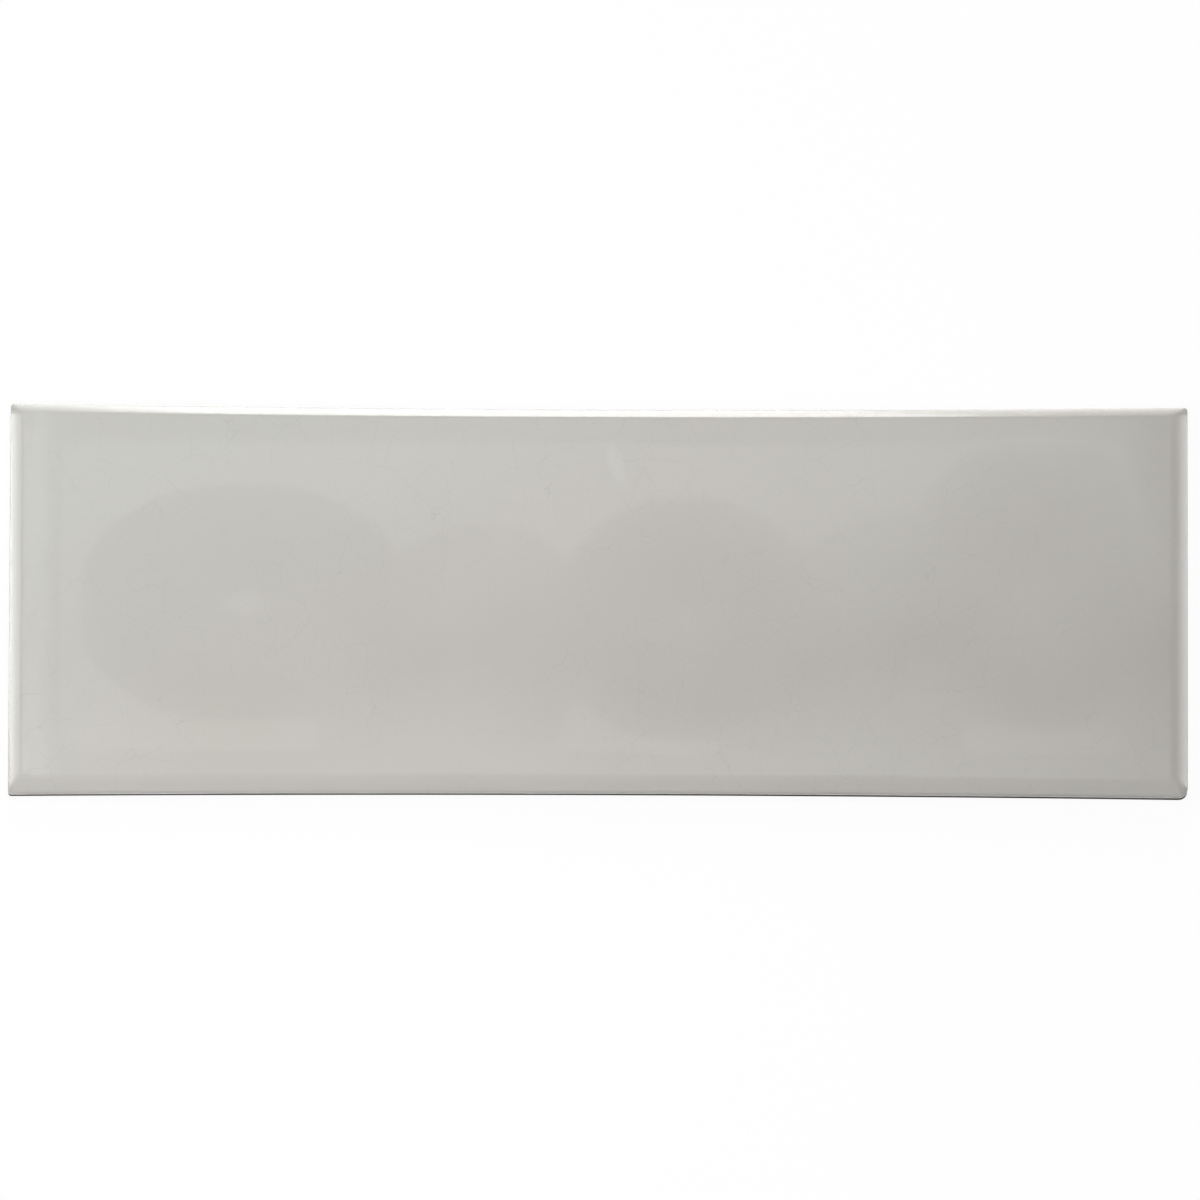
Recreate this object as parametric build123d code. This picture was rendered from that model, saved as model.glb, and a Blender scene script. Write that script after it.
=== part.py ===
from build123d import *
import math
import os

# A pressed and glazed wall tile of brick format, 3 : 1, lying on its back with the glazed face up.
# Millimetres. X runs along the tile, Y across it, Z up. The origin is the middle of the back, on its ribs.

# Body
length = 300.0
width = 100.0
thickness = 9.0
long_edge_bow = {"near": 0.75, "far": 1.1}
side_draft = 0.2
corner_radius = {"far left": 0.8, "far right": 0.8, "near left": 0.8, "near right": 2.2}
crease_corner_share = 0.3
back_taper_height = 2.4
back_taper_inset = 0.7

# Edges: a slope that starts with a light crease, then a tight turn down into the wall.
# For each side the width of the slope seen from above, and its steepness at the crease.
sides = ["left", "right", "near", "far"]
slope_width = {"left": 2.9, "right": 4.0, "near": 4.5, "far": 1.8}
crease = {"left": 0.10, "right": 0.05, "near": 0.07, "far": 0.26}
slope_drop = 1.0
slope_rings = 4
turn_drop = 0.5
turn_rings = 3
slope_overrun = 0.2

# Shoulders: how far the face falls towards each crease, and how far in that starts
shoulder_reach = 8.0
shoulder_fall = {"left": 0.09, "right": 0.10, "near": 0.02, "far": 0.03}

# Swells of the face: place as a share of the half length and half width, reach along and across, rise, turn
swells = [
    (-0.60, -0.02, 48.0, 34.0, -0.10, 0),
    (-0.25, -0.42, 30.0, 46.0, 0.20, -25),
    (0.15, -0.10, 34.0, 34.0, -0.16, 0),
    (0.44, -0.40, 30.0, 46.0, 0.21, -20),
    (0.74, 0.10, 34.0, 40.0, -0.20, 0),
    (1.00, -0.10, 26.0, 44.0, 0.12, 0),
]

# Keyed back: shallow pockets between crossing ribs, inside a plain border
rib_width = 3.0
rib_pitch = 29.0
border_width = 6.0
pocket_depth = 0.8
pocket_draft = 30.0
pocket_corner = 4.0

# Sampling of the face, and the head room of what cuts it
sample_step = 5.0
cut_headroom = 6.0


def bump(distance):
    """A smooth hill: 1 in the middle, falling to 0 with no slope at a distance of 1."""
    return math.cos(min(distance, 1.0) * math.pi / 2) ** 2


def last_steepness(side):
    """Steepness of a slope where its turn starts."""
    return 2 * slope_drop / slope_width[side] - crease[side]


def slope_reach(side, drop):
    """How far out from the crease the slope is when it has dropped this much."""
    gain = (last_steepness(side) - crease[side]) / slope_width[side]
    return (math.sqrt(crease[side] ** 2 + 2 * gain * drop) - crease[side]) / gain


def turn_reach(side, drop):
    """How far out from its start the turn is when it has dropped this much."""
    tilt = math.atan(last_steepness(side))
    radius = turn_drop / math.cos(tilt)
    steep = math.acos(max(0.0, math.cos(tilt) - drop / radius))
    return radius * (math.sin(steep) - math.sin(tilt))


def edge_width(side):
    """From the widest outline of the tile in to the crease."""
    return side_draft + slope_width[side] + turn_reach(side, turn_drop)


def shoulder(inset, side):
    """How far the face has dropped at this distance in from the outline of one side."""
    from_crease = max(0.0, inset - edge_width(side))
    return shoulder_fall[side] * max(0.0, 1.0 - from_crease / shoulder_reach) ** 2


def face_height(x, y):
    """Height of the glazed face above the back."""
    rise = 0.0
    for along, across, reach_x, reach_y, height, turn in swells:
        away = Vector(x - along * length / 2, y - across * width / 2).rotate(Axis.Z, -turn)
        rise += height * bump(math.hypot(away.X / reach_x, away.Y / reach_y))
    insets = {"left": x + length / 2, "right": length / 2 - x, "near": y + width / 2, "far": width / 2 - y}
    return thickness + rise - sum(shoulder(insets[side], side) for side in sides)


def outline(insets, height, corner_share=1.0):
    """The tile's outline at one height: square ends, long edges that bow inwards, rounded corners."""
    left, right = -length / 2 + insets["left"], length / 2 - insets["right"]
    near, far = -width / 2 + insets["near"], width / 2 - insets["far"]
    middle = (left + right) / 2
    with BuildSketch(Plane.XY.offset(height)) as plan:
        with BuildLine():
            Line((left, far), (left, near))
            ThreePointArc((left, near), (middle, near + long_edge_bow["near"]), (right, near))
            Line((right, near), (right, far))
            ThreePointArc((right, far), (middle, far - long_edge_bow["far"]), (left, far))
        make_face()
        for place, radius in corner_radius.items():
            spot = (left if "left" in place else right, near if "near" in place else far, height)
            corner = plan.vertices().sort_by_distance(spot)[0]
            fillet(corner, radius * corner_share)
    return plan.sketch


def body_outlines():
    """Outlines of the back taper and of the drafted side walls, from the back up."""
    return [
        outline(dict.fromkeys(sides, back_taper_inset), 0.0),
        outline(dict.fromkeys(sides, 0.0), back_taper_height),
    ]


def turn_outlines():
    """Outlines of the tight turn, from the wall up to the slope."""
    drops = [turn_drop * (1 - ring / turn_rings) for ring in range(turn_rings)]
    return [
        outline(
            {side: edge_width(side) - slope_width[side] - turn_reach(side, drop) for side in sides},
            thickness - slope_drop - drop,
        )
        for drop in drops
    ]


def slope_outlines():
    """Outlines of the slope, from the turn up to the crease, and one past it for the face to cut."""
    rings = []
    for ring in range(slope_rings + 1):
        drop = slope_drop * (1 - ring / slope_rings)
        insets = {side: edge_width(side) - slope_reach(side, drop) for side in sides}
        corner_share = 1 - (1 - crease_corner_share) * ring / slope_rings
        rings.append(outline(insets, thickness - drop, corner_share))
    past = {side: edge_width(side) + slope_overrun / crease[side] for side in sides}
    return rings + [outline(past, thickness + slope_overrun, crease_corner_share)]


def steps(span):
    """Sample places from end to end of a span, a little past both ends."""
    count = max(4, round(span / sample_step))
    reach = span / 2 + sample_step
    return [-reach + 2 * reach * i / count for i in range(count + 1)]


def above_face():
    """Everything above the glazed face, as a cutter for the blank."""
    grid = [[Vector(x, y, face_height(x, y)) for y in steps(width)] for x in steps(length)]
    skin = Face.make_surface_from_array_of_points(grid, tol=0.005, min_deg=3, max_deg=3)
    return Solid.extrude(skin, Vector(0, 0, cut_headroom))


def pocket_layout():
    """How many pockets fit each way inside the border, and their exact pitch."""
    inset = 2 * (back_taper_inset + max(long_edge_bow.values()) + border_width) - rib_width
    count_x = max(1, round((length - inset) / rib_pitch))
    count_y = max(1, round((width - inset) / rib_pitch))
    return count_x, count_y, (length - inset) / count_x, (width - inset) / count_y


def pocket():
    """One pocket of the keyed back, as a cutter that opens downwards with drafted walls."""
    _, _, pitch_x, pitch_y = pocket_layout()
    mouth = Sketch() + RectangleRounded(pitch_x - rib_width, pitch_y - rib_width, pocket_corner)
    return extrude(mouth, pocket_depth, taper=pocket_draft)


def keyed_back(tile):
    """Cuts the field of pockets into the back and leaves the ribs and the border standing."""
    count_x, count_y, pitch_x, pitch_y = pocket_layout()
    cutter = pocket()
    places = GridLocations(pitch_x, pitch_y, count_x, count_y)
    return tile - [place * cutter for place in places]


def glazed_tile():
    """The whole tile, one fired piece."""
    blank = loft(body_outlines() + turn_outlines() + slope_outlines(), ruled=True)
    return keyed_back(blank - above_face())


os.makedirs("parts", exist_ok=True)
tile = glazed_tile()
tile.label = "glazed_brick_tile"
export_step(tile, "parts/glazed_brick_tile.step")
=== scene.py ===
import math
from functools import cached_property

import bmesh
import bpy
from mathutils import Matrix, Vector


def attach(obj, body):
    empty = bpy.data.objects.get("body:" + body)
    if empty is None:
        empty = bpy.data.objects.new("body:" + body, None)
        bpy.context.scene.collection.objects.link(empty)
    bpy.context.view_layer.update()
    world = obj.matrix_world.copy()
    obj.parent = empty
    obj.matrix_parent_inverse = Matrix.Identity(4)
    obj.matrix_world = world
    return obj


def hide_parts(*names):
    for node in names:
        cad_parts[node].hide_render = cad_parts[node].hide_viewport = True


# A pressed and glazed wall tile of brick format, lying on its back with the glazed face up.
# The tile's sizes are in millimetres, in the frame of the CAD model, and the studio's in metres.
MM = 0.001

# Body
LENGTH = 300.0
WIDTH = 100.0
THICKNESS = 9.0
LONG_EDGE_BOW = {"near": 0.75, "far": 1.1}
SIDE_DRAFT = 0.2
BACK_TAPER_HEIGHT = 2.4
BACK_TAPER_INSET = 0.7
WALL_RINGS = 2

# Corners: their full radius, and the share of it that they have at the crease
CORNER_RADIUS = {"far left": 0.8, "far right": 0.8, "near left": 0.8, "near right": 2.2}
CREASE_CORNER_SHARE = 0.3
ROUND_CORNER = {"offset_type": "OFFSET", "segments": 4, "profile": 0.5, "affect": "VERTICES"}

# Edges: a slope that starts with a light crease, then a tight turn down into the wall.
# For each side the width of the slope seen from above, and its steepness at the crease.
SIDES = ("left", "right", "near", "far")
OUTWARDS = {"left": -1, "right": 1, "near": -1, "far": 1}
SLOPE_WIDTH = {"left": 2.9, "right": 4.0, "near": 4.5, "far": 1.8}
CREASE = {"left": 0.10, "right": 0.05, "near": 0.07, "far": 0.26}
SLOPE_DROP = 1.0
SLOPE_RINGS = 8
SLOPE_CROWDING = 0.55
TURN_DROP = 0.5
TURN_RINGS = 6

# Shoulders: how far the face falls towards each crease, and how far in that starts
SHOULDER_REACH = 8.0
SHOULDER_FALL = {"left": 0.09, "right": 0.10, "near": 0.02, "far": 0.03}

# Swells of the face: place as a share of the half length and half width, reach along and across,
# rise, and turn in degrees
SWELLS = [
    (-0.60, -0.02, 48.0, 34.0, -0.10, 0),
    (-0.25, -0.42, 30.0, 46.0, 0.20, -25),
    (0.15, -0.10, 34.0, 34.0, -0.16, 0),
    (0.44, -0.40, 30.0, 46.0, 0.21, -20),
    (0.74, 0.10, 34.0, 40.0, -0.20, 0),
    (1.00, -0.10, 26.0, 44.0, 0.12, 0),
]

# Mesh of the face: its cells, the level lip that keeps the crease crisp, the points of the lattice
# that presses it, and how far it is kept below the face of the CAD model
FACE_CELL = 2.5
LIP = 0.4
LATTICE_POINTS = (61, 41, 2)
FACE_CLEARANCE = 0.01

# Keyed back: shallow pockets between crossing ribs, inside a plain border. The corner cut is how far
# the corners of a pocket's mouth are cut back along its sides.
RIB_WIDTH = 3.0
RIB_PITCH = 29.0
BORDER_WIDTH = 6.0
POCKET_DEPTH = 0.8
POCKET_DRAFT = 30.0
POCKET_CORNER_CUT = 2.4

# Tolerances: for points that count as one, for those next to a corner, for a face's middle as a share
# of the pitch and for a face that looks down, and the sharpest angle that shades smooth, in degrees
SAME_PLACE = 0.01
CORNER_SLACK = 0.02
CORNER_STRETCH = 1.03
MIDDLE_SLACK = 0.05
LOOKS_DOWN = -0.9
SMOOTH_ANGLE = 30.0

# Glaze: its colours, and how strongly each tint shows over the two clouded greys
GLAZE_CLOUDS = ((0.494, 0.473, 0.443), (0.481, 0.460, 0.429))
# painted light: the cool tint of the light that falls from the far left
PAINTED_COOL_LIGHT_TINT = (0.486, 0.484, 0.452)
# painted highlight: the pale wisp in the glaze
PAINTED_HIGHLIGHT_TINT = (0.53, 0.52, 0.49)
CRAZE_TINT = (0.20, 0.18, 0.15)
LOWEST_TINT = (0.40, 0.37, 0.33)
# pale where the glaze is thin at the turn, and partly a painted light line along the turn
THIN_GLAZE_AND_LIGHT_LINE_TINT = (0.66, 0.65, 0.62)
STRENGTH = {"painted_cool_light": 0.8, "painted_highlight": 0.4, "crazes": 0.13, "lowest": 0.35, "thin": 0.8}
GLAZE_ROUGHNESS = (0.065, 0.085)
GLAZE_IOR = 1.5

# The painted highlight's middle and half size, and how far it leans: a faint pale wisp painted into the glaze
PAINTED_HIGHLIGHT_PLACE = (4.3, 35.0)
PAINTED_HIGHLIGHT_SIZE = (2.6, 7.5)
PAINTED_HIGHLIGHT_LEAN = 0.25

# Glaze line: its height, its rise along the tile, its ragged waves by length and height, how soft it
# is, and the height of the darker band over it
GLAZE_LINE = 6.8
GLAZE_LINE_RISE = 0.002
GLAZE_LINE_WAVES = ((22, 1.4), (3.5, 0.5))
GLAZE_LINE_SOFTNESS = 0.12
LOWEST_BAND = 0.9

# Where the glaze is thin and pale at the turn, partly a painted light line along the turn: from where to
# where it thins, and where it thickens again
THIN_AND_LIGHT_LINE_START = (7.00, 7.35)
THIN_AND_LIGHT_LINE_END = (7.50, 8.00)

# Crackle: the length and width of the large crazes and of the fine ones inside them, how much of the
# large ones' strength the fine ones have, and how far they all wander
LARGE_CRAZES = (9.0, 0.10)
FINE_CRAZES = (4.2, 0.08)
FINE_CRAZE_STRENGTH = 0.6
CRAZE_WANDER = 3.0
CRAZE_WANDER_SCALE = 180.0

# Relief too fine for the mesh: unevenness and thickness of the glaze, depth of a craze, grain of the clay
GLAZE_UNEVENNESS = 0.010
GLAZE_THICKNESS = 0.12
CRAZE_DEPTH = 0.004
CLAY_GRAIN = 0.10

# Clay
CLAY_GRAINS = ((0.155, 0.140, 0.122), (0.260, 0.240, 0.214))
CLAY_STAIN = (0.17, 0.135, 0.105)
CLAY_STAIN_STRENGTH = 0.35
CLAY_ROUGHNESS = 0.9

# Length of the patches of each soft pattern
PATCH = {"clouds": 46, "painted_cool_light": 70, "faint crazes": 30, "uneven": 9, "polish": 14, "stain": 16, "grain": 0.9}

# Studio: colours, strengths of the even lights, and the paleness of the floor for light and for the eye
WHITE = (1.0, 1.0, 1.0)
COOL_WHITE = (0.96, 1.0, 0.97)
STRIP_BEHIND_LIGHT = 11.0
LOW_STRIP_LIGHT = 0.9
SOFT_BOX_LIGHT = 3.0
LONG_CARD_LIGHT = 3.5
END_CARD_LIGHT = 3.0
WORLD_LIGHT = 0.06
FLOOR_SIZE = 12.0
FLOOR_PALENESS = (0.48, 0.95)
FLOOR_WHITE = 0.955

# Studio: height of the ceiling, the soft box and the cards on the floor, and how far from the tile's
# middle those cards start, along and across
CEILING = 1.40
SOFT_BOX = 0.36
ON_FLOOR = 0.001
CLEAR_ALONG = 0.155
CLEAR_ACROSS = 0.055

# Camera: a long way off, leaning a little towards the near side. The frame's width and the aim are in
# millimetres, the angles in degrees.
CAMERA_DISTANCE = 2.5
CAMERA_TILT = 4.0
CAMERA_ROLL = 0.2
CAMERA_AIM = (0.4, 0.7, 0.0)
FRAME_WIDTH = 306.0
SENSOR_WIDTH = 36.0


# Picking what an operator acts on


def nothing_selected():
    """Leaves every object out of the next operator."""
    bpy.ops.object.select_all(action="DESELECT")


def only_selected(piece):
    """Leaves one piece, selected and active, for the next operator."""
    nothing_selected()
    piece.select_set(True)
    bpy.context.view_layer.objects.active = piece


def pick(kind, test):
    """Selects the points, edges or faces of the open mesh that pass the test."""
    bpy.ops.mesh.select_mode(type=kind)
    bpy.ops.mesh.select_all(action="DESELECT")
    data = bpy.context.edit_object.data
    mesh = bmesh.from_edit_mesh(data)
    for element in {"VERT": mesh.verts, "EDGE": mesh.edges, "FACE": mesh.faces}[kind]:
        element.select_set(test(element))
    mesh.select_flush_mode()
    bmesh.update_edit_mesh(data)


def on_rim(edge):
    return edge.is_boundary


def on_back(face):
    return face.normal.z < LOOKS_DOWN and face.calc_center_median().z / MM < SAME_PLACE


# The shape of the face and its edges


def bump(distance):
    """A smooth hill: 1 in the middle, falling to 0 with no slope at a distance of 1."""
    return math.cos(min(distance, 1.0) * math.pi / 2) ** 2


def last_steepness(side):
    """Steepness of a slope where its turn starts."""
    return 2 * SLOPE_DROP / SLOPE_WIDTH[side] - CREASE[side]


def slope_reach(side, drop):
    """How far out from the crease the slope is when it has dropped this much."""
    gain = (last_steepness(side) - CREASE[side]) / SLOPE_WIDTH[side]
    return (math.sqrt(CREASE[side] ** 2 + 2 * gain * drop) - CREASE[side]) / gain


def turn_reach(side, drop):
    """How far out from its start the turn is when it has dropped this much."""
    tilt = math.atan(last_steepness(side))
    radius = TURN_DROP / math.cos(tilt)
    steep = math.acos(max(0.0, math.cos(tilt) - drop / radius))
    return radius * (math.sin(steep) - math.sin(tilt))


def edge_width(side):
    """From the widest outline of the tile in to the crease."""
    return SIDE_DRAFT + SLOPE_WIDTH[side] + turn_reach(side, TURN_DROP)


def corner_share(down):
    """The share of a corner's full radius that it has at this share of the slope's drop."""
    return CREASE_CORNER_SHARE + (1 - CREASE_CORNER_SHARE) * down


def shoulder(inset, side):
    """How far the face has dropped at this distance in from the outline of one side."""
    from_crease = max(0.0, inset - edge_width(side))
    return SHOULDER_FALL[side] * max(0.0, 1.0 - from_crease / SHOULDER_REACH) ** 2


def face_rise(x, y):
    """How far the pressed face stands above or below its nominal height."""
    rise = 0.0
    for along, across, reach_x, reach_y, height, turn in SWELLS:
        away = Vector((x - along * LENGTH / 2, y - across * WIDTH / 2))
        away.rotate(Matrix.Rotation(-math.radians(turn), 2))
        rise += height * bump(math.hypot(away.x / reach_x, away.y / reach_y))
    inset = {"left": x + LENGTH / 2, "right": LENGTH / 2 - x, "near": y + WIDTH / 2, "far": WIDTH / 2 - y}
    return rise - sum(shoulder(inset[side], side) for side in SIDES)


def edge_bow(x, y):
    """How far a point is drawn towards the middle line by the bow of the long edges."""
    towards_middle = 1.0 - (2 * x / LENGTH) ** 2
    bow = LONG_EDGE_BOW["near" if y < 0 else "far"]
    return -bow * (2 * y / WIDTH) * towards_middle


# Modelling the tile: a grid for the face, then an open rim that grows out and down from it.
# The rim is known by the place of each of its four sides.


def face_grid():
    """The face inside the level lip, as an even grid, and its rim."""
    half = {"left": LENGTH / 2, "right": LENGTH / 2, "near": WIDTH / 2, "far": WIDTH / 2}
    rim = {side: OUTWARDS[side] * (half[side] - edge_width(side) - LIP) for side in SIDES}
    size_x = rim["right"] - rim["left"]
    size_y = rim["far"] - rim["near"]
    middle = Vector(((rim["left"] + rim["right"]) / 2, (rim["near"] + rim["far"]) / 2, THICKNESS))
    nothing_selected()
    bpy.ops.mesh.primitive_grid_add(
        x_subdivisions=round(size_x / FACE_CELL),
        y_subdivisions=round(size_y / FACE_CELL),
        size=1,
        location=middle * MM,
    )
    tile = bpy.context.object
    tile.scale = (size_x * MM, size_y * MM, 1)
    bpy.ops.object.transform_apply(location=True, rotation=True, scale=True)
    return tile, rim


def corner_spot(place, rim):
    """Where the two straight sides next to one corner would meet."""
    long_side, end = place.split()
    return Vector((rim[end], rim[long_side], 0))


def rim_corner_test(spot, radius):
    """A test that passes the points of the open rim on the arc of this radius next to a spot."""
    reach = radius * CORNER_STRETCH + CORNER_SLACK

    def test(point):
        away = point.co / MM - spot
        return point.is_boundary and abs(away.x) < reach and abs(away.y) < reach

    return test


def start_corners(rim):
    """Rounds the four corners of the face."""
    for place, radius in CORNER_RADIUS.items():
        pick("VERT", rim_corner_test(corner_spot(place, rim), 0.0))
        bpy.ops.mesh.bevel(offset=radius * CREASE_CORNER_SHARE * MM, **ROUND_CORNER)


def centre_of_growth(place, new_place, scale):
    """The point about which a scale carries place to new_place."""
    return 0.0 if math.isclose(scale, 1) else (new_place - scale * place) / (1 - scale)


def ring_out(rim, grown, drop, share=1.0, new_share=1.0):
    """Extrudes the open rim down by drop, moves each of its sides outwards by its own amount,
    and opens its corners from one share of their full radius to another."""
    new = {side: rim[side] + OUTWARDS[side] * grown[side] for side in SIDES}
    scale_x = (new["right"] - new["left"]) / (rim["right"] - rim["left"])
    scale_y = (new["far"] - new["near"]) / (rim["far"] - rim["near"])
    centre_x = centre_of_growth(rim["left"], new["left"], scale_x)
    centre_y = centre_of_growth(rim["near"], new["near"], scale_y)
    bpy.ops.mesh.extrude_region_move(TRANSFORM_OT_translate={"value": (0, 0, -drop * MM)})
    bpy.ops.transform.resize(value=(scale_x, scale_y, 1), center_override=(centre_x * MM, centre_y * MM, 0))
    opening = new_share / share
    for place, radius in CORNER_RADIUS.items():
        spot = corner_spot(place, new)
        pick("VERT", rim_corner_test(spot, radius * share))
        bpy.ops.transform.resize(value=(opening / scale_x, opening / scale_y, 1), center_override=spot * MM)
    pick("EDGE", on_rim)
    return new


def roll_slope(rim):
    """The slope, ring by ring, with the rings closer together near the crease."""
    before = 0.0
    for ring in range(1, SLOPE_RINGS + 1):
        even = ring / SLOPE_RINGS
        down = SLOPE_CROWDING * even**2 + (1 - SLOPE_CROWDING) * even
        start = SLOPE_DROP * before
        end = SLOPE_DROP * down
        grown = {side: slope_reach(side, end) - slope_reach(side, start) for side in SIDES}
        rim = ring_out(rim, grown, end - start, corner_share(before), corner_share(down))
        before = down
    return rim


def roll_turn(rim):
    """The tight turn from the slope down into the wall."""
    drop = TURN_DROP / TURN_RINGS
    for ring in range(TURN_RINGS):
        start = drop * ring
        grown = {side: turn_reach(side, start + drop) - turn_reach(side, start) for side in SIDES}
        rim = ring_out(rim, grown, drop)
    return rim


def walls_and_back(rim):
    """The drafted side walls, the taper under them, and the flat back."""
    wall = THICKNESS - SLOPE_DROP - TURN_DROP - BACK_TAPER_HEIGHT
    for grown, drop in ((SIDE_DRAFT, wall), (-BACK_TAPER_INSET, BACK_TAPER_HEIGHT)):
        for _ in range(WALL_RINGS):
            rim = ring_out(rim, dict.fromkeys(SIDES, grown / WALL_RINGS), drop / WALL_RINGS)
    bpy.ops.mesh.edge_face_add()


def pocket_layout():
    """How many pockets fit each way inside the border, and their exact pitch."""
    inset = 2 * (BACK_TAPER_INSET + max(LONG_EDGE_BOW.values()) + BORDER_WIDTH) - RIB_WIDTH
    count_x = max(1, round((LENGTH - inset) / RIB_PITCH))
    count_y = max(1, round((WIDTH - inset) / RIB_PITCH))
    return count_x, count_y, (LENGTH - inset) / count_x, (WIDTH - inset) / count_y


def mouth_test(count_x, count_y, pitch_x, pitch_y):
    """A test that passes the one face in the middle of each pocket."""

    def test(face):
        middle = face.calc_center_median() / MM
        along = middle.x / pitch_x + count_x / 2
        across = middle.y / pitch_y + count_y / 2
        in_field = 0 < along < count_x and 0 < across < count_y
        off_middle = max(abs(along % 1 - 0.5), abs(across % 1 - 0.5))
        return on_back(face) and in_field and off_middle < MIDDLE_SLACK

    return test


def cut_back(place, direction):
    """Cuts the flat back along one line."""
    pick("FACE", on_back)
    bpy.ops.mesh.bisect(plane_co=place, plane_no=direction)


def key_back():
    """Sinks the field of pockets into the back."""
    count_x, count_y, pitch_x, pitch_y = pocket_layout()
    half_x, half_y = count_x * pitch_x / 2, count_y * pitch_y / 2
    for i in range(count_x + 1):
        cut_back(((i * pitch_x - half_x) * MM, 0, 0), (1, 0, 0))
    for j in range(count_y + 1):
        cut_back((0, (j * pitch_y - half_y) * MM, 0), (0, 1, 0))

    def in_field(face):
        middle = face.calc_center_median() / MM
        return on_back(face) and abs(middle.x) < half_x and abs(middle.y) < half_y

    pick("FACE", in_field)
    bpy.ops.mesh.inset(thickness=RIB_WIDTH / 2 * MM, use_individual=True)
    mouths = mouth_test(count_x, count_y, pitch_x, pitch_y)
    pick("FACE", mouths)
    bpy.ops.mesh.select_mode(type="VERT")
    bpy.ops.mesh.bevel(offset=POCKET_CORNER_CUT * MM, **ROUND_CORNER)
    pick("FACE", mouths)
    flare = POCKET_DEPTH * math.tan(math.radians(POCKET_DRAFT))
    bpy.ops.mesh.inset(thickness=flare * MM, depth=-POCKET_DEPTH * MM, use_individual=True)


def press_face(tile):
    """Presses the swells, the shoulders and the bow of the long edges into the tile with a lattice."""
    nothing_selected()
    bpy.ops.object.add(type="LATTICE", location=(0, 0, THICKNESS / 2 * MM))
    cage = bpy.context.object
    cage.scale = (LENGTH * MM, WIDTH * MM, THICKNESS * MM)
    cage.data.points_u, cage.data.points_v, cage.data.points_w = LATTICE_POINTS
    cage.data.interpolation_type_w = "KEY_LINEAR"
    for point in cage.data.points:
        x, y = point.co.x * LENGTH, point.co.y * WIDTH
        moved = point.co.copy()
        moved.y += edge_bow(x, y) / WIDTH
        if point.co.z > 0:
            moved.z += (face_rise(x, y) - FACE_CLEARANCE) / THICKNESS
        point.co_deform = moved
    press = tile.modifiers.new("press", "LATTICE")
    press.object = cage
    only_selected(tile)
    bpy.ops.object.modifier_apply(modifier=press.name)
    bpy.data.objects.remove(cage)


def glazed_tile():
    """The whole tile, one fired piece."""
    tile, rim = face_grid()
    tile.name = tile.data.name = "pressed_glazed_tile"
    only_selected(tile)
    bpy.ops.object.mode_set(mode="EDIT")
    start_corners(rim)
    pick("EDGE", on_rim)
    rim = ring_out(rim, dict.fromkeys(SIDES, LIP), 0, CREASE_CORNER_SHARE, CREASE_CORNER_SHARE)
    walls_and_back(roll_turn(roll_slope(rim)))
    key_back()
    bpy.ops.mesh.select_all(action="SELECT")
    bpy.ops.mesh.remove_doubles(threshold=SAME_PLACE * MM)
    bpy.ops.mesh.normals_make_consistent(inside=False)
    bpy.ops.object.mode_set(mode="OBJECT")
    press_face(tile)
    only_selected(tile)
    bpy.ops.object.shade_smooth_by_angle(angle=math.radians(SMOOTH_ANGLE))
    return tile


# Shader maths as expressions


class Value:
    """A socket that adds Math nodes when it is used in an expression."""

    def __init__(self, paint, socket):
        self.paint = paint
        self.socket = socket

    def maths(self, operation, *values):
        return self.paint.node("ShaderNodeMath", {"operation": operation}, dict(enumerate(values)))

    def __add__(self, other):
        return self.maths("ADD", self, other)

    __radd__ = __add__

    def __mul__(self, other):
        return self.maths("MULTIPLY", self, other)

    __rmul__ = __mul__

    def __sub__(self, other):
        return self.maths("SUBTRACT", self, other)

    def __rsub__(self, other):
        return self.maths("SUBTRACT", other, self)

    def __neg__(self):
        return self.maths("MULTIPLY", self, -1)

    def most(self, other):
        return self.maths("MAXIMUM", self, other)

    def step(self, low, high):
        """0 below low, 1 above high, and smooth between them."""
        settings = {"interpolation_type": "SMOOTHSTEP"}
        values = {"Value": self, "From Min": low, "From Max": high}
        return self.paint.node("ShaderNodeMapRange", settings, values)


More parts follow.
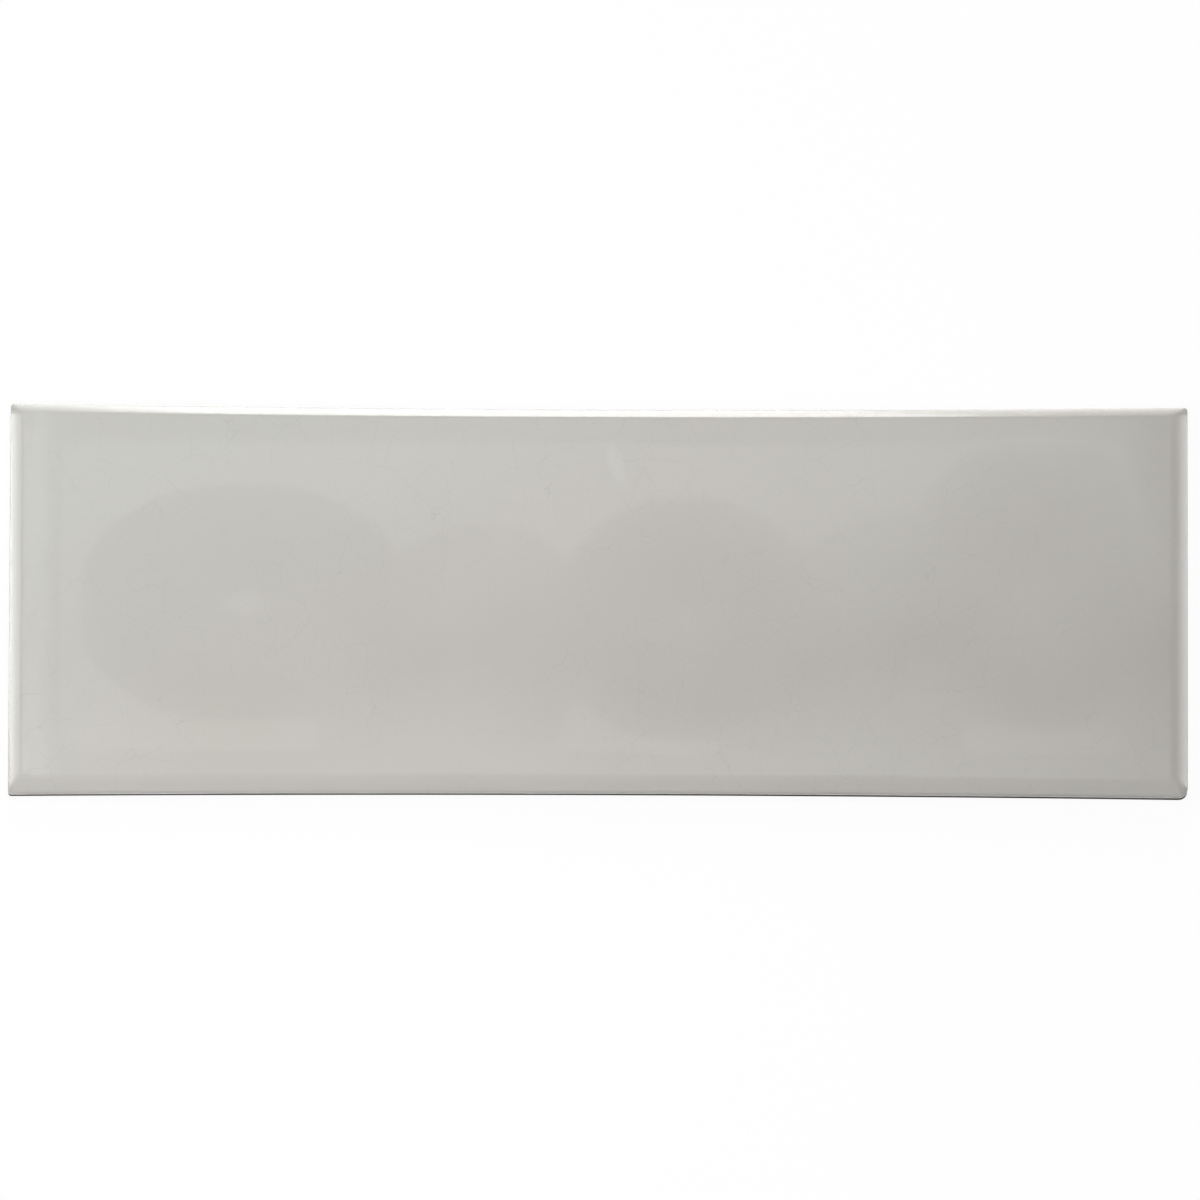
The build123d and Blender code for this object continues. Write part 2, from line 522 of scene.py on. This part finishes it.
class Paint:
    """Builds the nodes of one material or world."""

    def __init__(self, owner, output="ShaderNodeOutputMaterial"):
        self.owner = owner
        owner.use_nodes = True
        self.tree = owner.node_tree
        self.tree.nodes.clear()
        self.out = self.tree.nodes.new(output)

    def node(self, kind, settings=None, values=None, output=0):
        """Adds a node, makes its settings, fills or links its sockets, and gives back one output."""
        made = self.tree.nodes.new(kind)
        for name, setting in (settings or {}).items():
            setattr(made, name, setting)
        for name, value in (values or {}).items():
            socket = made.inputs[name]
            if isinstance(value, Value):
                self.tree.links.new(value.socket, socket)
            else:
                socket.default_value = value
        return Value(self, made.outputs[output])

    @cached_property
    def spot(self):
        """Where a point of the surface is, in metres."""
        return self.node("ShaderNodeTexCoord", output="Object")

    def coordinates(self):
        """The three coordinates of a point of the surface, in metres."""
        first = self.node("ShaderNodeSeparateXYZ", values={0: self.spot})
        return [Value(self, output) for output in first.socket.node.outputs]

    def noise(self, patch, detail=2.0, rough=0.5):
        """Soft noise, from 0 to 1, with patches of about this many millimetres."""
        values = {"Vector": self.spot, "Scale": 1 / (patch * MM), "Detail": detail, "Roughness": rough}
        return self.node("ShaderNodeTexNoise", values=values)

    def mix(self, share, one, other):
        """One colour turning into another."""
        one, other = ((*tint, 1) if isinstance(tint, tuple) else tint for tint in (one, other))
        settings = {"data_type": "RGBA", "clamp_factor": True}
        return self.node("ShaderNodeMix", settings, {0: share, 6: one, 7: other}, output=2)

    def mix_shaders(self, share, one, other):
        return self.node("ShaderNodeMixShader", values={0: share, 1: one, 2: other})

    def bump(self, height):
        """A surface normal from a height in metres."""
        return self.node("ShaderNodeBump", values={"Strength": 1.0, "Distance": 1.0, "Height": height})

    def seen(self):
        """1 for what the camera sees directly, in a reflection or through glass, and 0 for other light."""
        rays = ("Is Camera Ray", "Is Glossy Ray", "Is Transmission Ray")
        camera, glossy, through = (self.node("ShaderNodeLightPath", output=ray) for ray in rays)
        return camera.most(glossy).most(through)

    def finish(self, shader):
        self.tree.links.new(shader.socket, self.out.inputs["Surface"])
        return self.owner


# The finish of the tile


def crackle(paint):
    """A wandering net of large crazes with finer ones inside: 1 on a craze, and fainter in places."""
    values = {"Vector": paint.spot, "Scale": CRAZE_WANDER_SCALE, "Detail": 2.0}
    wander = paint.node("ShaderNodeTexNoise", values=values, output="Color")
    push = paint.node("ShaderNodeVectorMath", {"operation": "SCALE"}, {0: wander, "Scale": CRAZE_WANDER * MM})
    shifted = paint.node("ShaderNodeVectorMath", {"operation": "ADD"}, {0: paint.spot, 1: push})

    def crazes(length, width):
        values = {"Vector": shifted, "Scale": 1 / (length * MM)}
        from_craze = paint.node("ShaderNodeTexVoronoi", {"feature": "DISTANCE_TO_EDGE"}, values)
        return 1 - from_craze.step(0.0, width / length)

    net = crazes(*LARGE_CRAZES).most(crazes(*FINE_CRAZES) * FINE_CRAZE_STRENGTH)
    return net * (0.35 + 0.65 * paint.noise(PATCH["faint crazes"]).step(0.35, 0.65))


def painted_highlight(paint):
    """A painted highlight: one faint pale wisp painted into the glaze, beyond the middle."""
    x, y, _ = paint.coordinates()
    beyond = y - PAINTED_HIGHLIGHT_PLACE[1] * MM
    beside = x - PAINTED_HIGHLIGHT_PLACE[0] * MM + beyond * PAINTED_HIGHLIGHT_LEAN
    along = beside * (1 / (PAINTED_HIGHLIGHT_SIZE[0] * MM))
    across = beyond * (1 / (PAINTED_HIGHLIGHT_SIZE[1] * MM))
    return 1 - (along * along + across * across).step(0.0, 1.0)


def glaze_colour(paint, net, above_line):
    """Warm grey in soft clouds, tinted cool at the far left as painted light, with a painted highlight
    beyond the middle, crazed, darker at its foot, and pale where it is thin, which also paints a light line."""
    x, y, z = paint.coordinates()
    colour = paint.mix(paint.noise(PATCH["clouds"], 3.0).step(0.30, 0.75), *GLAZE_CLOUDS)
    # painted light: the glaze turns towards the cool tint of the light from the far left
    far_left = y * 1.5 - x + (paint.noise(PATCH["painted_cool_light"]) - 0.5) * 0.06
    colour = paint.mix(far_left.step(0.03, 0.17) * STRENGTH["painted_cool_light"], colour, PAINTED_COOL_LIGHT_TINT)
    # painted highlight: a faint pale wisp beyond the middle
    colour = paint.mix(painted_highlight(paint) * STRENGTH["painted_highlight"], colour, PAINTED_HIGHLIGHT_TINT)
    colour = paint.mix(net * STRENGTH["crazes"], colour, CRAZE_TINT)
    lowest = 1 - above_line.step(0.0, LOWEST_BAND * MM)
    colour = paint.mix(lowest * STRENGTH["lowest"], colour, LOWEST_TINT)
    # pale where the glaze is thin at the turn: partly its own paleness and partly a painted light line there
    thins, thickens = (z.step(low * MM, high * MM) for low, high in (THIN_AND_LIGHT_LINE_START, THIN_AND_LIGHT_LINE_END))
    return paint.mix(thins * (1 - thickens) * STRENGTH["thin"], colour, THIN_GLAZE_AND_LIGHT_LINE_TINT)


def bare_clay(paint):
    """Dull fired clay, grainy and a little stained."""
    grain = paint.noise(PATCH["grain"], 4.0, 0.65)
    stain = paint.noise(PATCH["stain"], 3.0).step(0.45, 0.8)
    values = {
        "Base Color": paint.mix(stain * CLAY_STAIN_STRENGTH, paint.mix(grain, *CLAY_GRAINS), CLAY_STAIN),
        "Roughness": CLAY_ROUGHNESS,
        "Specular IOR Level": 0.0,
        "Normal": paint.bump(grain * (CLAY_GRAIN * MM)),
    }
    return paint.node("ShaderNodeBsdfPrincipled", values=values)


def crackle_glaze_on_clay():
    """Glossy warm grey crackle glaze over the face and edges, bare fired clay below the glaze line."""
    paint = Paint(bpy.data.materials.new("warm_grey_crackle_glaze_on_fired_clay"))
    x, _, z = paint.coordinates()
    ragged = sum((paint.noise(length) - 0.5) * (height * MM) for length, height in GLAZE_LINE_WAVES)
    above_line = z - (GLAZE_LINE * MM + x * GLAZE_LINE_RISE + ragged)
    glazed = above_line.step(-GLAZE_LINE_SOFTNESS * MM, GLAZE_LINE_SOFTNESS * MM)
    net = crackle(paint)
    relief = paint.noise(PATCH["uneven"], 1.0) * (GLAZE_UNEVENNESS * MM) - net * (CRAZE_DEPTH * MM)
    least_rough, most_rough = GLAZE_ROUGHNESS
    values = {
        "Base Color": glaze_colour(paint, net, above_line),
        "Roughness": least_rough + paint.noise(PATCH["polish"]) * (most_rough - least_rough),
        "IOR": GLAZE_IOR,
        "Normal": paint.bump(relief + glazed * (GLAZE_THICKNESS * MM)),
    }
    gloss = paint.node("ShaderNodeBsdfPrincipled", values=values)
    return paint.finish(paint.mix_shaders(glazed, bare_clay(paint), gloss))


# The studio


def floor():
    """A plain pale floor that reads white and keeps a soft shadow."""
    nothing_selected()
    bpy.ops.mesh.primitive_plane_add(size=FLOOR_SIZE)
    plane = bpy.context.object
    plane.name = "pale_floor"
    paint = Paint(bpy.data.materials.new("pale_floor"))
    seen = paint.seen()
    for_light, for_eye = FLOOR_PALENESS
    card = paint.node("ShaderNodeBsdfDiffuse", values={"Color": for_light + seen * (for_eye - for_light)})
    white = paint.node("ShaderNodeEmission", values={"Color": (*WHITE, 1), "Strength": 1.0})
    plane.data.materials.append(paint.finish(paint.mix_shaders(seen * FLOOR_WHITE, card, white)))


def surroundings():
    """Low even light from all round, white where it is seen."""
    world = bpy.data.worlds.new("studio")
    bpy.context.scene.world = world
    paint = Paint(world, "ShaderNodeOutputWorld")
    low, white = (
        paint.node("ShaderNodeBackground", values={"Color": (*WHITE, 1), "Strength": strength})
        for strength in (WORLD_LIGHT, 1.0)
    )
    paint.finish(paint.mix_shaders(paint.seen(), low, white))


def panel(name, corners, glow, colour=WHITE):
    """A glowing panel through four corners, in metres, not itself in view. Its glow is one strength,
    or a function that works one out from the place on the panel."""
    nothing_selected()
    bpy.ops.mesh.primitive_plane_add()
    obj = bpy.context.object
    obj.name = obj.data.name = name
    first, second, third, fourth = corners
    for point, corner in zip(obj.data.vertices, (first, second, fourth, third)):
        point.co = corner
    paint = Paint(bpy.data.materials.new(name))
    strength = glow(*paint.coordinates()) if callable(glow) else glow
    light = paint.node("ShaderNodeEmission", values={"Color": (*colour, 1), "Strength": strength})
    obj.data.materials.append(paint.finish(light))
    obj.visible_camera = False
    obj.visible_shadow = False
    return obj


def level_panel(name, along, across, height, glow, colour=WHITE):
    """A level glowing panel from one place to another along the tile and across it."""
    (left, right), (near, far) = along, across
    corners = [(left, near, height), (right, near, height), (right, far, height), (left, far, height)]
    return panel(name, corners, glow, colour)


def ceiling_glow(x, y, z):
    """Strength of the ceiling: bright beyond the tile and in front of it, with a dim gap for the camera,
    a bright end at the left and a dark one at the right."""
    beyond = y.step(0.072, 0.150) * (0.5 + 0.5 * x.step(-0.25, 0.05)) * (1 - 0.35 * x.step(0.12, 0.30))
    in_front = (-y).step(-0.085, -0.005) * (0.7 + 0.3 * x.step(-0.20, 0.0)) * (1 - 0.3 * x.step(0.10, 0.30))
    left_end = (-x).step(0.224, 0.244) * (1 - (-x).step(0.255, 0.275))
    right_end = x.step(0.180, 0.250)
    return 0.42 + 1.90 * beyond + 1.65 * in_front + 2.2 * left_end - 0.42 * right_end


def behind_glow(x, y, z):
    """Strength of the wide strip behind: brighter towards the floor."""
    return 1.6 + 3.3 * (-z).step(-2.4, -0.3) + 3.0 * (-z).step(-0.6, 0.0)


def left_glow(x, y, z):
    """Strength of the strip at the left: brighter low down."""
    return 3.2 + 10.0 * (-z).step(-2.1, -0.6)


def right_glow(x, y, z):
    """Strength of the strip at the right: dim at its top, and a little less dim at the far side."""
    return 0.35 + 0.6 * y.step(0.14, 0.26) + 7.0 * (-z).step(-2.15, -1.2)


def near_glow(x, y, z):
    """Strength of the card above the near edge: brighter further out."""
    return 1.5 + (-y).step(0.2, 1.0)


def lights():
    """Soft panels all round the tile."""
    # a tall strip behind the far edge: its reflection is the white line along that edge
    tall = [(-0.252, 3.4, 0.0), (0.112, 3.4, 0.0), (0.235, 2.2, 3.05), (-0.252, 2.2, 3.05)]
    panel("strip_behind", tall, STRIP_BEHIND_LIGHT)

    # a dim wide one further back, seen in the rest of that edge, and a low one in front
    wide = [(-0.85, 3.6, 0.0), (0.85, 3.6, 0.0), (0.85, 2.4, 3.05), (-0.85, 2.4, 3.05)]
    panel("dim_strip_behind", wide, behind_glow)
    low = [(1.20, -3.4, 0.0), (-1.20, -3.4, 0.0), (-1.20, -3.4, 0.7), (1.20, -3.4, 0.7)]
    panel("low_strip_in_front", low, LOW_STRIP_LIGHT)

    # a soft box above the left part, which lights the tile and doesn't show in it
    box = level_panel("soft_box_above", (-0.30, -0.02), (-0.22, 0.10), SOFT_BOX, SOFT_BOX_LIGHT)
    box.visible_glossy = False

    # strips far out at both ends, seen in the slopes of the short edges
    left = [(-3.47, 0.13, 0.3), (-3.47, 0.35, 0.3), (-0.60, 0.30, 2.33), (-0.60, 0.06, 2.33)]
    panel("strip_left", left, left_glow)
    right = [(3.43, 0.37, 0.3), (3.43, 0.11, 0.3), (0.42, 0.06, 2.5), (0.42, 0.30, 2.5)]
    panel("strip_right", right, right_glow)

    # a ceiling over the tile, seen in its face
    level_panel("soft_ceiling", (-0.56, 0.34), (-0.12, 0.30), CEILING, ceiling_glow, COOL_WHITE)


def cards():
    """Pale cards that only show as reflections, and carry the lights on to where an edge would lose them."""
    behind = [(-0.252, 2.2, 3.05), (0.235, 2.2, 3.05), (0.261, 1.944, 3.7), (-0.252, 1.944, 3.7)]
    left = [(-2.35, 0.00, 1.09), (-2.35, 0.10, 1.09), (-0.60, 0.06, 2.33), (-0.60, -0.02, 2.33)]
    right = [(2.35, 0.09, 1.09), (2.35, -0.01, 1.09), (0.42, -0.02, 2.5), (0.42, 0.06, 2.5)]
    made = [
        panel("card_over_strip_behind", behind, STRIP_BEHIND_LIGHT),
        panel("card_by_strip_left", left, left_glow),
        panel("card_by_strip_right", right, right_glow),
        level_panel("card_above_near_edge", (-0.60, 0.70), (-1.30, -0.12), CEILING, near_glow),
        level_panel("card_behind", (-0.60, 0.60), (CLEAR_ACROSS, 1.60), ON_FLOOR, LONG_CARD_LIGHT),
        level_panel("card_left", (-1.60, -CLEAR_ALONG), (-0.30, CLEAR_ACROSS), ON_FLOOR, END_CARD_LIGHT),
        level_panel("card_in_front", (-CLEAR_ALONG, 0.60), (-1.60, -CLEAR_ACROSS), ON_FLOOR, LONG_CARD_LIGHT),
    ]
    for card in made:
        card.visible_diffuse = False


def camera():
    """Looks down on the tile, as in the photo."""
    data = bpy.data.cameras.new("camera")
    data.sensor_width = SENSOR_WIDTH
    data.lens = SENSOR_WIDTH * CAMERA_DISTANCE / (FRAME_WIDTH * MM)
    cam = bpy.data.objects.new("camera", data)
    bpy.context.scene.collection.objects.link(cam)
    tilt = math.radians(CAMERA_TILT)
    upwards = Vector((0, -math.sin(tilt), math.cos(tilt)))
    cam.location = Vector(CAMERA_AIM) * MM + upwards * CAMERA_DISTANCE
    turn = Matrix.Rotation(tilt, 3, "X") @ Matrix.Rotation(math.radians(CAMERA_ROLL), 3, "Z")
    cam.rotation_euler = turn.to_euler()
    bpy.context.scene.camera = cam


# The CAD model's frame, the tile in its place, and the studio round it

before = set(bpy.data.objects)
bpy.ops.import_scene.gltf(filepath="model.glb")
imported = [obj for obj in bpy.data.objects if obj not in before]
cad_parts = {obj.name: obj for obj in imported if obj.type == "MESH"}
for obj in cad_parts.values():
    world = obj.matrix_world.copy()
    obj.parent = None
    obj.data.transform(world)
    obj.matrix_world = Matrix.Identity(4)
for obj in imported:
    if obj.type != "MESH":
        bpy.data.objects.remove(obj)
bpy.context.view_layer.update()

tile = glazed_tile()
tile.data.materials.append(crackle_glaze_on_clay())
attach(tile, "root")
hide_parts("glazed_brick_tile")

floor()
surroundings()
lights()
cards()
camera()

bpy.context.scene.view_settings.view_transform = "Standard"
